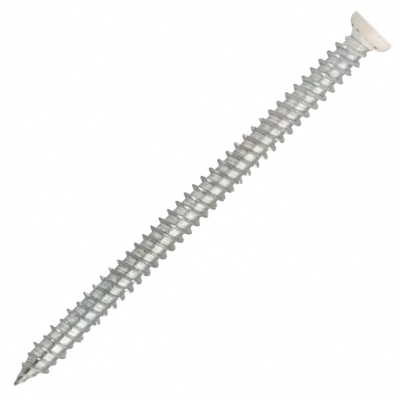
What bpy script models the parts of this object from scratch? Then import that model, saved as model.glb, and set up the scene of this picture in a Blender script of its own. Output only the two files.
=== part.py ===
"""Flat-headed window-frame screw with a two-start thread, standing on its head.

Metres, +Z up. The origin is the centre of the head's flat face, and +Z runs along the axis to the point.
"""

import math

import bmesh
import bpy

# Overall
LENGTH = 0.1120  # from the head's face to the point

# Thread
CREST_DIAMETER = 0.0075  # over the high start
LOW_CREST_DIAMETER = 0.0064  # over the other start, where it is still low
ROOT_DIAMETER_AT_POINT = 0.00544
ROOT_DIAMETER_AT_HEAD = 0.00514
LEAD = 0.00522  # one turn of one start, so that crests lie half of this apart
CREST_FLAT = 0.00012
TOOTH_WIDTH_AT_POINT = 0.00098  # at the root
TOOTH_WIDTH_AT_HEAD = 0.00146
FIRST_CREST_FROM_POINT = 0.0098  # where the high start crosses +X at its full height
LOW_START_LENGTH = 0.0200  # from the point, over which the other start stays low
LOW_START_RISE = 0.0130  # over which it then grows to the full height
RUN_OUT_START = 0.0088  # above the face, where both starts begin to fade
RUN_OUT_LENGTH = 0.0044

# Notches across the crests, in slow left-handed rows along the thread
NOTCH_ROWS = 3
NOTCH_DEPTH = 0.0008  # below the full crest
NOTCH_WIDTH = 0.0024  # along the crest
NOTCH_ROW_LEAD = 0.1332  # over which a row goes round once
FIRST_NOTCH_TURN = 0.05  # where a row meets the point, as a share of a turn from +X

# Point
POINT_LENGTH = 0.0080  # of the cone
POINT_DIAMETER = 0.0005  # of the cone's blunt end
NOSE_LENGTH = 0.00018  # of the small end cone

# Head
HEAD_DIAMETER = 0.0112
FACE_EDGE_RADIUS = 0.00045
RIM_HEIGHT = 0.0012  # of the upright rim
RIM_FOOT_RADIUS = 0.00040
CHEEK_HEIGHT = 0.00106  # of the slightly tapered band next to the rim
CHEEK_END_DIAMETER = 0.01026
CHEEK_END_RADIUS = 0.00035
CONE_HEIGHT = 0.00086  # of the steeper cone next to the cheek
SHOULDER_DIAMETER = 0.0081  # where that cone meets the shoulder
SHOULDER_HEIGHT = 0.00024
NECK_DIAMETER = 0.00684  # where the shoulder meets the neck
NECK_LENGTH = 0.00134  # of the neck's cone, down to the thread's root
NECK_FILLET = 0.00020

# Six-lobe socket in the head's face
SOCKET_ACROSS_LOBES = 0.00560
SOCKET_ACROSS_FLUTES = 0.00395
SOCKET_LOBE_RADIUS = 0.00046
SOCKET_DEPTH = 0.00270  # of the straight wall
SOCKET_BOTTOM_DEPTH = 0.00030  # of the cone below it
SOCKET_CHAMFER = 0.00015  # beyond the lobes, at the face
SOCKET_CHAMFER_DEPTH = 0.00035

# How finely round forms are cut into faces
THREAD_STEPS = 24
HEAD_STEPS = 48
FILLET_STEPS = 3
LOBE_STEPS = 4
LOBES = 6
STARTS = 2

# Places that follow from the sizes
ROOT_RADIUS = ROOT_DIAMETER_AT_HEAD / 2  # of the plain helix, before it is shaped
PITCH = LEAD / STARTS
CHEEK_Z = RIM_HEIGHT + CHEEK_HEIGHT
CONE_Z = CHEEK_Z + CONE_HEIGHT
UNDERSIDE_Z = CONE_Z + SHOULDER_HEIGHT
NECK_Z = UNDERSIDE_Z + NECK_LENGTH
CORE_SINK = 0.0003  # how far the head and the threaded shank run into each other
WELD = 0.000001


def collection(name, is_helper):
    """A new collection, whose objects are only tools when is_helper is set."""
    made = bpy.data.collections.new(name)
    made.hide_render = is_helper
    bpy.context.scene.collection.children.link(made)
    return made


def material(name, colour, roughness, metallic):
    made = bpy.data.materials.new(name)
    made.use_nodes = True
    shader = made.node_tree.nodes["Principled BSDF"]
    shader.inputs["Base Color"].default_value = (*colour, 1.0)
    shader.inputs["Roughness"].default_value = roughness
    shader.inputs["Metallic"].default_value = metallic
    made.diffuse_color = (*colour, 1.0)
    return made


def mesh_object(name, mesh, group):
    made = bpy.data.objects.new(name, mesh)
    group.objects.link(made)
    return made


def share_between(value, start, length):
    """0 at start, 1 a length further on, and held at those past the ends."""
    return min(max((value - start) / length, 0.0), 1.0)


def rounded_profile(corners):
    """The points of an outline in the XZ plane. Each corner is (radius from the axis, height, fillet)."""
    points = []
    for index, (x, z, fillet) in enumerate(corners):
        if not fillet:
            points.append((x, z))
            continue
        before = corners[index - 1]
        after = corners[index + 1]
        ways = []
        for neighbour in (before, after):
            run = math.hypot(neighbour[0] - x, neighbour[1] - z)
            ways.append(((neighbour[0] - x) / run, (neighbour[1] - z) / run))
        (ax, az), (bx, bz) = ways
        half_angle = math.acos(ax * bx + az * bz) / 2
        to_centre = fillet / math.sin(half_angle)
        middle = math.hypot(ax + bx, az + bz)
        centre_x = x + (ax + bx) / middle * to_centre
        centre_z = z + (az + bz) / middle * to_centre
        tangent = fillet / math.tan(half_angle)
        first = math.atan2(z + az * tangent - centre_z, x + ax * tangent - centre_x)
        last = math.atan2(z + bz * tangent - centre_z, x + bx * tangent - centre_x)
        sweep = (last - first + math.pi) % (2 * math.pi) - math.pi
        for step in range(FILLET_STEPS + 1):
            angle = first + sweep * step / FILLET_STEPS
            points.append((centre_x + fillet * math.cos(angle), centre_z + fillet * math.sin(angle)))
    return points


def outline_mesh(name, points):
    """An open chain of edges through (x, z) points."""
    mesh = bpy.data.meshes.new(name)
    edges = [(index, index + 1) for index in range(len(points) - 1)]
    mesh.from_pydata([(x, 0.0, z) for x, z in points], edges, [])
    return mesh


def applied(source, name):
    """A mesh with the source object's modifiers applied. The source is removed."""
    graph = bpy.context.evaluated_depsgraph_get()
    mesh = bpy.data.meshes.new_from_object(source.evaluated_get(graph))
    mesh.name = name
    bpy.data.objects.remove(source)
    return mesh


def add_screw(target, steps, offset=0.0, turns=1):
    turning = target.modifiers.new("Turn", "SCREW")
    turning.axis = "Z"
    turning.angle = 2 * math.pi
    turning.steps = steps
    turning.render_steps = steps
    turning.screw_offset = offset
    turning.iterations = turns
    turning.use_merge_vertices = offset == 0.0
    turning.merge_threshold = WELD
    return turning


def thread_profile(lowest_crest):
    """One lead of the plain thread, top to bottom: a tooth of the other start, one of the high start,
    and the next tooth's upper foot, which closes on the turn below."""
    half_foot = TOOTH_WIDTH_AT_HEAD / 2
    half_flat = CREST_FLAT / 2
    points = []
    for start in range(STARTS):
        crest_z = lowest_crest + PITCH * (STARTS - 1 - start)
        points += [
            (ROOT_RADIUS, crest_z + half_foot),
            (CREST_DIAMETER / 2, crest_z + half_flat),
            (CREST_DIAMETER / 2, crest_z - half_flat),
            (ROOT_RADIUS, crest_z - half_foot),
        ]
    points.append((ROOT_RADIUS, points[0][1] - LEAD))
    return points


def crest_radius(height, is_high):
    """How far a start's crest stands from the axis at a height above the face, before the point's cone."""
    from_point = LENGTH - height
    low = LOW_CREST_DIAMETER / 2
    full = CREST_DIAMETER / 2
    grown = 1.0 if is_high else share_between(from_point, LOW_START_LENGTH, LOW_START_RISE)
    radius = low + (full - low) * grown
    faded = share_between(RUN_OUT_START - height, 0.0, RUN_OUT_LENGTH) ** 2
    return radius + (ROOT_RADIUS - radius) * faded


def notch_radius(angle, height):
    """How far from the axis a crest may stand at an angle and a height. It is least in the middle
    of a notch, and passes the full crest at the notch's two edges."""
    in_rows = NOTCH_ROWS * (angle / (2 * math.pi) - FIRST_NOTCH_TURN - (LENGTH - height) / NOTCH_ROW_LEAD)
    from_middle = abs(in_rows - round(in_rows)) / NOTCH_ROWS * math.pi * CREST_DIAMETER
    return CREST_DIAMETER / 2 - NOTCH_DEPTH * (1 - from_middle / (NOTCH_WIDTH / 2))


def shaped(point, a_crest):
    """Where a point of the plain helix lies on the real thread. a_crest is the height of any crest
    of the high start over +X."""
    angle = math.atan2(point.y, point.x)
    on_helix = (point.z - a_crest) / PITCH - STARTS * angle / (2 * math.pi)
    tooth = round(on_helix)
    from_crest = (on_helix - tooth) * PITCH
    crest_z = point.z - from_crest
    on_crest = math.hypot(point.x, point.y) > ROOT_RADIUS + WELD

    to_head = share_between(LENGTH - crest_z, 0.0, LENGTH)
    width = TOOTH_WIDTH_AT_POINT + (TOOTH_WIDTH_AT_HEAD - TOOTH_WIDTH_AT_POINT) * to_head
    height = crest_z + (from_crest if on_crest else from_crest * width / TOOTH_WIDTH_AT_HEAD)
    root = (ROOT_DIAMETER_AT_POINT + (ROOT_DIAMETER_AT_HEAD - ROOT_DIAMETER_AT_POINT) * to_head) / 2
    radius = root
    if on_crest:
        radius = max(root, min(crest_radius(crest_z, tooth % STARTS == 0), notch_radius(angle, crest_z)))

    tip = POINT_DIAMETER / 2
    along_cone = share_between(LENGTH - NOSE_LENGTH - height, 0.0, POINT_LENGTH)
    radius = tip + (radius - tip) * along_cone
    return radius * math.cos(angle), radius * math.sin(angle), height


def cut_flat(body, height, keep_above):
    """Cuts the body level at a height, closes the cut and returns its face."""
    cut = bmesh.ops.bisect_plane(
        body,
        geom=body.verts[:] + body.edges[:] + body.faces[:],
        plane_co=(0.0, 0.0, height),
        plane_no=(0.0, 0.0, 1.0),
        clear_inner=keep_above,
        clear_outer=not keep_above,
        dist=WELD / 10,
    )
    rim = [item for item in cut["geom_cut"] if isinstance(item, bmesh.types.BMEdge)]
    return bmesh.ops.contextual_create(body, geom=rim)["faces"][0]


def threaded_shank(helpers):
    """The two-start thread from inside the head to the point, as one closed solid."""
    foot_z = UNDERSIDE_Z
    a_crest = LENGTH - FIRST_CREST_FROM_POINT
    turns_below = math.ceil((a_crest - foot_z) / LEAD) + 1
    turns_above = math.ceil(FIRST_CREST_FROM_POINT / LEAD) + 1
    profile = thread_profile(a_crest - turns_below * LEAD)
    helix = mesh_object("thread_helix", outline_mesh("thread_helix", profile), helpers)
    add_screw(helix, THREAD_STEPS, LEAD, turns_below + turns_above)
    mesh = applied(helix, "threaded_shank")

    body = bmesh.new()
    body.from_mesh(mesh)
    bmesh.ops.remove_doubles(body, verts=body.verts[:], dist=WELD)
    for vertex in body.verts:
        vertex.co = shaped(vertex.co, a_crest)
    cut_flat(body, foot_z, keep_above=True)
    nose = cut_flat(body, LENGTH - NOSE_LENGTH, keep_above=False)
    apex = bmesh.ops.poke(body, faces=[nose])["verts"][0]
    apex.co = (0.0, 0.0, LENGTH)
    bmesh.ops.recalc_face_normals(body, faces=body.faces[:])
    body.to_mesh(mesh)
    body.free()
    return mesh_object("threaded_shank", mesh, helpers)


def head_profile():
    """The head's outline, from inside the shank down its outer side to the middle of the face."""
    rim = HEAD_DIAMETER / 2
    neck = NECK_DIAMETER / 2
    neck_slope = (neck - ROOT_RADIUS) / NECK_LENGTH
    core = ROOT_RADIUS - CORE_SINK * neck_slope
    return rounded_profile(
        [
            (0.0, NECK_Z + CORE_SINK, 0.0),
            (core, NECK_Z + CORE_SINK, 0.0),
            (neck, UNDERSIDE_Z, NECK_FILLET),
            (SHOULDER_DIAMETER / 2, CONE_Z, 0.0),
            (CHEEK_END_DIAMETER / 2, CHEEK_Z, CHEEK_END_RADIUS),
            (rim, RIM_HEIGHT, RIM_FOOT_RADIUS),
            (rim, 0.0, FACE_EDGE_RADIUS),
            (0.0, 0.0, 0.0),
        ]
    )


def socket_outline():
    """The six-lobe outline: small arcs out on the lobes, joined by larger arcs that bulge inwards."""
    lobe_centre = SOCKET_ACROSS_LOBES / 2 - SOCKET_LOBE_RADIUS
    flute = SOCKET_ACROSS_FLUTES / 2
    half_step = math.pi / LOBES
    # The flute's arc touches the lobe's, so the distance between their centres is the sum of their radii.
    lean = 2 * lobe_centre * math.cos(half_step)
    flute_radius = (lobe_centre**2 + flute**2 - lean * flute - SOCKET_LOBE_RADIUS**2) / (
        2 * SOCKET_LOBE_RADIUS - 2 * flute + lean
    )
    flute_centre = flute + flute_radius
    across = flute_centre * math.sin(half_step)
    out = flute_centre * math.cos(half_step) - lobe_centre
    lobe_sweep = math.atan2(across, out)
    flute_sweep = lobe_sweep - half_step
    points = []
    for lobe in range(LOBES):
        middle = 2 * half_step * lobe
        x = lobe_centre * math.cos(middle)
        y = lobe_centre * math.sin(middle)
        for step in range(LOBE_STEPS + 1):
            angle = middle + lobe_sweep * (2 * step / LOBE_STEPS - 1)
            points.append((x + SOCKET_LOBE_RADIUS * math.cos(angle), y + SOCKET_LOBE_RADIUS * math.sin(angle)))
        middle += half_step
        x = flute_centre * math.cos(middle)
        y = flute_centre * math.sin(middle)
        for step in range(1, LOBE_STEPS):
            angle = middle + math.pi - flute_sweep * (2 * step / LOBE_STEPS - 1)
            points.append((x + flute_radius * math.cos(angle), y + flute_radius * math.sin(angle)))
    return points


def socket_cutter(helpers):
    """The space of the socket: a straight six-lobe well with a shallow cone at its bottom."""
    body = bmesh.new()
    below = -CORE_SINK
    rim = [body.verts.new((x, y, below)) for x, y in socket_outline()]
    mouth = body.faces.new(rim)
    raised = bmesh.ops.extrude_face_region(body, geom=[mouth], use_keep_orig=True)["geom"]
    bottom = next(item for item in raised if isinstance(item, bmesh.types.BMFace))
    bmesh.ops.translate(body, verts=bottom.verts[:], vec=(0.0, 0.0, SOCKET_DEPTH - below))
    apex = bmesh.ops.poke(body, faces=[bottom])["verts"][0]
    apex.co.z += SOCKET_BOTTOM_DEPTH
    bmesh.ops.recalc_face_normals(body, faces=body.faces[:])
    mesh = bpy.data.meshes.new("socket_cutter")
    body.to_mesh(mesh)
    body.free()
    return mesh_object("socket_cutter", mesh, helpers)


def socket_chamfer_cutter(helpers):
    """The cone that breaks the socket's edge at the face."""
    outer = SOCKET_ACROSS_LOBES / 2 + SOCKET_CHAMFER
    inner = SOCKET_ACROSS_FLUTES / 2
    slope = (outer - inner) / SOCKET_CHAMFER_DEPTH
    body = bmesh.new()
    bmesh.ops.create_cone(
        body,
        cap_ends=True,
        segments=HEAD_STEPS,
        radius1=outer + slope * CORE_SINK,
        radius2=inner,
        depth=SOCKET_CHAMFER_DEPTH + CORE_SINK,
    )
    bmesh.ops.translate(body, verts=body.verts[:], vec=(0.0, 0.0, (SOCKET_CHAMFER_DEPTH - CORE_SINK) / 2))
    mesh = bpy.data.meshes.new("socket_chamfer_cutter")
    body.to_mesh(mesh)
    body.free()
    return mesh_object("socket_chamfer_cutter", mesh, helpers)


def add_boolean(target, tool, operation):
    tool.hide_render = True
    tool.display_type = "WIRE"
    joining = target.modifiers.new(f"{operation.title()} {tool.name}", "BOOLEAN")
    joining.operation = operation
    joining.solver = "EXACT"
    joining.object = tool


def build_screw():
    parts = collection("fixing_screw", is_helper=False)
    helpers = collection("fixing_screw_tools", is_helper=True)
    zinc = material("zinc_plate", (0.62, 0.64, 0.63), 0.30, 1.0)
    coat = material("white_coat", (0.78, 0.73, 0.70), 0.45, 0.0)

    turned = mesh_object("head_outline", outline_mesh("head_outline", head_profile()), helpers)
    add_screw(turned, HEAD_STEPS)
    screw = mesh_object("fixing_screw", applied(turned, "fixing_screw"), parts)
    screw.data.materials.append(coat)
    screw.data.materials.append(zinc)
    for face in screw.data.polygons:
        face.material_index = int(face.center.z > UNDERSIDE_Z)

    shank = threaded_shank(helpers)
    shank.data.materials.append(zinc)
    socket = socket_cutter(helpers)
    socket.data.materials.append(coat)
    chamfer = socket_chamfer_cutter(helpers)
    chamfer.data.materials.append(coat)
    add_boolean(screw, shank, "UNION")
    add_boolean(screw, socket, "DIFFERENCE")
    add_boolean(screw, chamfer, "DIFFERENCE")
    return screw


for leftover in list(bpy.data.objects):
    bpy.data.objects.remove(leftover)
build_screw()
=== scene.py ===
"""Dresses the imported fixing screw: its rolled thread in bright zinc, and the white coat on its head.

The screw stands on its head at the origin, with +Z along its axis to the point. All lengths are in metres.
"""

import logging
import math
from collections.abc import Sequence
from dataclasses import dataclass, field
from enum import Enum
from typing import Any

import bmesh
import bpy
import numpy as np
from mathutils import Matrix, Vector
from numpy.typing import NDArray


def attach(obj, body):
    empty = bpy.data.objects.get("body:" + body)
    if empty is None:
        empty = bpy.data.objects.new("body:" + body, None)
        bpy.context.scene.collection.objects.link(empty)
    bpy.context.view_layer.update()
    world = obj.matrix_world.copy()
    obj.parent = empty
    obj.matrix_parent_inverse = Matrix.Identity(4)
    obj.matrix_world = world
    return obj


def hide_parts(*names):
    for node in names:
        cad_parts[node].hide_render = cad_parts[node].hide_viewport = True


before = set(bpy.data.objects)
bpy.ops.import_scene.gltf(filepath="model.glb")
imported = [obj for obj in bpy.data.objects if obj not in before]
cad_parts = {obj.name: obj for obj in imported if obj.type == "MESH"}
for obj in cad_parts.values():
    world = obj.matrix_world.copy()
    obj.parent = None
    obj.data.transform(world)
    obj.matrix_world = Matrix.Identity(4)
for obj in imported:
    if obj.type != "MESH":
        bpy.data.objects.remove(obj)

LOG = logging.getLogger("fixing_screw")
TURN = 2.0 * math.pi
MM = 0.001
LENGTH = 112.0 * MM
LEAD = 5.22 * MM
SHOULDER_RADIUS = 4.05 * MM
SHOULDER_HEIGHT = 3.12 * MM
CUT = "cut"
RISE = "rise"

Array = NDArray[np.float64]
Socket = bpy.types.NodeSocket
Colour = tuple[float, float, float]
Place = tuple[float, float, float]
Pairs = tuple[tuple[float, float], ...]
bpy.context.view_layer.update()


class Slot(Enum):
    """The record's material slots."""

    ZINC = "zinc_plate"
    COAT = "white_coat"


class Ray(Enum):
    """The kinds of ray that see the plain background."""

    CAMERA = "Is Camera Ray"
    GLOSSY = "Is Glossy Ray"
    TRANSMISSION = "Is Transmission Ray"


# Shader maths


@dataclass(frozen=True)
class Value:
    """A shader socket that carries a number, with Python's operators on it."""

    graph: "Graph"
    socket: Socket

    def __add__(self, other: "Value | float") -> "Value":
        """This plus other."""
        return self.graph.maths("ADD", self, other)

    __radd__ = __add__

    def __mul__(self, other: "Value | float") -> "Value":
        """This times other."""
        return self.graph.maths("MULTIPLY", self, other)

    __rmul__ = __mul__

    def __sub__(self, other: "Value | float") -> "Value":
        """This less other."""
        return self.graph.maths("SUBTRACT", self, other)

    def __rsub__(self, other: float) -> "Value":
        """Other less this."""
        return self.graph.maths("SUBTRACT", other, self)

    def __truediv__(self, other: "Value | float") -> "Value":
        """This over other."""
        return self.graph.maths("DIVIDE", self, other)

    def __rtruediv__(self, other: float) -> "Value":
        """Other over this."""
        return self.graph.maths("DIVIDE", other, self)

    def __abs__(self) -> "Value":
        """This without its sign."""
        return self.graph.maths("ABSOLUTE", self)

    def larger(self, other: "Value | float") -> "Value":
        """The larger of this and other."""
        return self.graph.maths("MAXIMUM", self, other)

    def ramp(self, low: float, high: float) -> "Value":
        """A smooth step of this value.

        Args:
            low: Where the step is 0. It may lie above high.
            high: Where the step is 1.

        Returns:
            0 to 1.
        """
        node = self.graph.node(
            "ShaderNodeMapRange",
            {"interpolation_type": "SMOOTHSTEP"},
            {"Value": self, "From Min": low, "From Max": high},
        )
        return Value(self.graph, node.outputs["Result"])


Input = Value | Socket | float | Sequence[float]


class Graph:
    """One material's or the world's node tree."""

    def __init__(self, tree: bpy.types.NodeTree) -> None:
        """Takes over a node tree and empties it."""
        self.tree = tree
        tree.nodes.clear()

    def node(
        self,
        kind: str,
        settings: dict[str, Any] | None = None,
        inputs: dict[int | str, Input] | None = None,
    ) -> bpy.types.Node:
        """Adds a node, makes its settings, then fills or links its sockets.

        Args:
            kind: The node's type.
            settings: Its properties by name. For a colour ramp, "stops" is a list of (place, colour).
            inputs: Values or links by socket name or number.

        Returns:
            The node.
        """
        made = self.tree.nodes.new(kind)
        for name, value in (settings or {}).items():
            if name == "stops":
                ramp = made.color_ramp
                while len(ramp.elements) < len(value):
                    ramp.elements.new(0.5)
                for element, (place, colour) in zip(ramp.elements, value):
                    element.position = place
                    element.color = (*colour, 1.0)
            else:
                setattr(made, name, value)
        for name, value in (inputs or {}).items():
            if isinstance(value, Value):
                self.tree.links.new(value.socket, made.inputs[name])
            elif isinstance(value, Socket):
                self.tree.links.new(value, made.inputs[name])
            else:
                made.inputs[name].default_value = value
        return made

    def value(self, socket: Socket) -> Value:
        """Wraps a socket that carries a number."""
        return Value(self, socket)

    def maths(self, operation: str, *values: Value | float) -> Value:
        """The result of one Math node, whose sockets take the values in order."""
        node = self.node("ShaderNodeMath", {"operation": operation}, dict(enumerate(values)))
        return self.value(node.outputs[0])

    def place(self) -> tuple[Socket, Value, Value, Value]:
        """Reads the Object coordinates, which are the row frame in metres.

        Returns:
            The point, then its x, y and z.
        """
        point = self.node("ShaderNodeTexCoord").outputs["Object"]
        parts = self.node("ShaderNodeSeparateXYZ", None, {"Vector": point}).outputs
        return point, self.value(parts["X"]), self.value(parts["Y"]), self.value(parts["Z"])

    def attribute(self, name: str) -> Value:
        """A number that the mesh carries at its points."""
        return self.value(self.node("ShaderNodeAttribute", {"attribute_name": name}).outputs["Fac"])

    def vector(self, x: Input, y: Input, z: Input) -> Socket:
        """Joins three numbers in a vector."""
        return self.node("ShaderNodeCombineXYZ", None, {"X": x, "Y": y, "Z": z}).outputs["Vector"]

    def noise(self, place: Socket, scale: float, detail: float = 2.0, roughness: float = 0.5) -> Value:
        """Smooth noise around 0.5. Scale counts features in a metre, and detail the finer layers."""
        inputs = {"Vector": place, "Scale": scale, "Detail": detail, "Roughness": roughness}
        return self.value(self.node("ShaderNodeTexNoise", {"noise_dimensions": "3D"}, inputs).outputs["Fac"])

    def blend(self, share: Value | float, first: Input, second: Input, way: str = "MIX") -> Socket:
        """Mixes two colours.

        Args:
            share: 0 for the first colour, 1 for the second.
            first: A colour or a link.
            second: A colour or a link.
            way: The Mix node's blend type.

        Returns:
            The mixed colour.
        """
        whole = [(*given, 1.0) if isinstance(given, tuple) else given for given in (first, second)]
        settings = {"data_type": "RGBA", "blend_type": way, "clamp_factor": True}
        return self.node("ShaderNodeMix", settings, {0: share, 6: whole[0], 7: whole[1]}).outputs[2]

    def tint(self, share: Value | float, colour: Input, hue: Input) -> Socket:
        """Multiplies a colour by a hue, as far as share says."""
        return self.blend(share, colour, hue, "MULTIPLY")

    def along(self, share: Value, stops: Sequence[tuple[float, Colour]]) -> Socket:
        """The colour of a colour ramp at a share of its length."""
        return self.node("ShaderNodeValToRGB", {"stops": stops}, {"Fac": share}).outputs["Color"]

    def from_line(self, point: Socket, start: Sequence[float], end: Sequence[float]) -> Value:
        """How far a point lies from the nearest point of a straight line between two ends.

        Args:
            point: The point.
            start: The line's first end.
            end: Its other end.

        Returns:
            The distance.
        """
        along = Vector(end) - Vector(start)
        kind = "ShaderNodeVectorMath"
        away = self.node(kind, {"operation": "SUBTRACT"}, {0: point, 1: start}).outputs["Vector"]
        share = self.node(kind, {"operation": "DOT_PRODUCT"}, {0: away, 1: along / along.length_squared})
        share = self.maths("MINIMUM", self.value(share.outputs["Value"]).larger(0.0), 1.0)
        nearest = self.node(kind, {"operation": "SCALE"}, {0: along, "Scale": share}).outputs["Vector"]
        return self.value(self.node(kind, {"operation": "DISTANCE"}, {0: away, 1: nearest}).outputs["Value"])

    def bump(self, height: Value, distance: float, strength: float) -> Socket:
        """A normal tilted by a height from 0 to 1, where 1 stands for a distance in metres."""
        inputs = {"Height": height, "Distance": distance, "Strength": strength}
        return self.node("ShaderNodeBump", None, inputs).outputs["Normal"]

    def principled(self, colour: Input, rough: Input, metallic: Input, normal: Input) -> bpy.types.Node:
        """The Principled shader with what a finish gives it."""
        inputs = {"Base Color": colour, "Roughness": rough, "Metallic": metallic, "Normal": normal}
        return self.node("ShaderNodeBsdfPrincipled", None, inputs)

    def surface(self, shader: bpy.types.Node, output: str = "ShaderNodeOutputMaterial") -> None:
        """Makes a shader the surface, by the output node of a material or of the world."""
        self.tree.links.new(shader.outputs[0], self.node(output).inputs["Surface"])


def new_material(name: str) -> tuple[bpy.types.Material, Graph]:
    """Makes a material and empties its node tree.

    Args:
        name: The material's name.

    Returns:
        The material, and its node tree.
    """
    made = bpy.data.materials.new(name)
    made.use_nodes = True
    return made, Graph(made.node_tree)


def put(name: str, data: bpy.types.ID) -> bpy.types.Object:
    """Puts an object in the scene.

    Args:
        name: The object's name.
        data: Its mesh, light or camera.

    Returns:
        The object.
    """
    made = bpy.data.objects.new(name, data)
    bpy.context.scene.collection.objects.link(made)
    return made


# Finishes


class ThreadMaps:
    """The numbers that the zinc's look is made of: where a point lies on the screw, and the patterns there.

    Places and lengths are in metres, and the rest is a share.
    """

    def __init__(self, graph: Graph, lead: float, length: float) -> None:
        """Reads the place and the mesh's own numbers, and adds the noises.

        Turned back about the axis by its own height, the thread is straight: what is long in Z there runs
        along the thread on the screw.

        Args:
            graph: The material's nodes.
            lead: How far the thread climbs in a turn.
            length: The screw's length.
        """
        point, self.x, self.y, self.z = graph.place()
        x, y, z = self.x, self.y, self.z
        self.up = z / length
        angle = z * (-TURN / lead)
        cos, sin = graph.maths("COSINE", angle), graph.maths("SINE", angle)
        straightened = graph.vector(x * cos - y * sin, x * sin + y * cos, z * 0.5)
        self.streaks = graph.noise(straightened, 1050.0, 2.0, 0.6)
        self.scores = graph.noise(straightened, 3200.0)
        self.blotches = graph.noise(point, 1150.0, 3.0, 0.55)
        self.fine = graph.noise(point, 5200.0)
        self.grit = graph.noise(point, 2100.0, 1.0)
        self.patches = graph.noise(point, 420.0)
        self.hue = graph.noise(point, 300.0, 1.0)
        self.other_hue = graph.noise(graph.vector(x + 0.3, y, z), 260.0, 1.0)
        self.marks = self.streaks * 0.55 + self.blotches * 0.35 + self.fine * 0.10
        self.stains = self.patches.ramp(0.60, 0.72) * self.blotches.ramp(0.46, 0.60)
        self.ragged = (self.patches - 0.5) * 0.9 * MM + (self.blotches - 0.5) * 0.5 * MM

        self.cut = graph.attribute(CUT)
        self.rise = graph.attribute(RISE)
        self.on_flank = self.rise.ramp(0.12, 0.42) * (1.0 - self.cut)
        self.near_head = self.up.ramp(0.38, 0.18)
        self.toward_point = self.up.ramp(0.50, 0.60)
        self.first_turns = self.up.ramp(0.72, 0.80)
        self.near_point = (z + self.ragged).ramp(length - 8.3 * MM, length - 6.2 * MM)
        self.at_tip = (z + (self.blotches - 0.5) * 1.2 * MM).ramp(length - 1.5 * MM, length - 0.4 * MM)
        self.read_neck()

    def read_neck(self) -> None:
        """Works out what lies on the neck.

        A thin mist from the head's coat greys the last tooth and the neck. On the -X side it thickens to
        over-spray, and painted shade slants round the neck as a dark line where the thread ends.
        """
        slant = self.z - self.x * 0.11
        wavering = slant + self.ragged * 0.7
        misted = (self.z + self.ragged).ramp(8.2 * MM, 7.1 * MM)
        misted = misted * (0.50 - self.x.ramp(0.2 * MM, -0.5 * MM) * 0.38)
        self.misted = (misted + wavering.ramp(4.6 * MM, 4.3 * MM) * 0.14) * (1.0 - self.cut)
        self.side = (self.x * -0.64 + self.y * -0.77) / (3.0 * MM) + (self.patches - 0.5) * 1.2
        flecked = (self.z + self.ragged).ramp(6.1 * MM, 5.5 * MM) * self.side.ramp(0.70, 1.00) * 0.45
        self.sprayed = (wavering.ramp(4.45 * MM, 4.15 * MM) * self.side.ramp(0.47, 1.02)).larger(flecked)
        # Painted shade in the crevice round the neck where the thread ends.
        self.seam = abs(slant - 4.50 * MM + self.ragged * 0.25).ramp(0.28 * MM, 0.06 * MM)
        self.chipped = self.z.ramp(3.03 * MM, 2.95 * MM)


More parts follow.
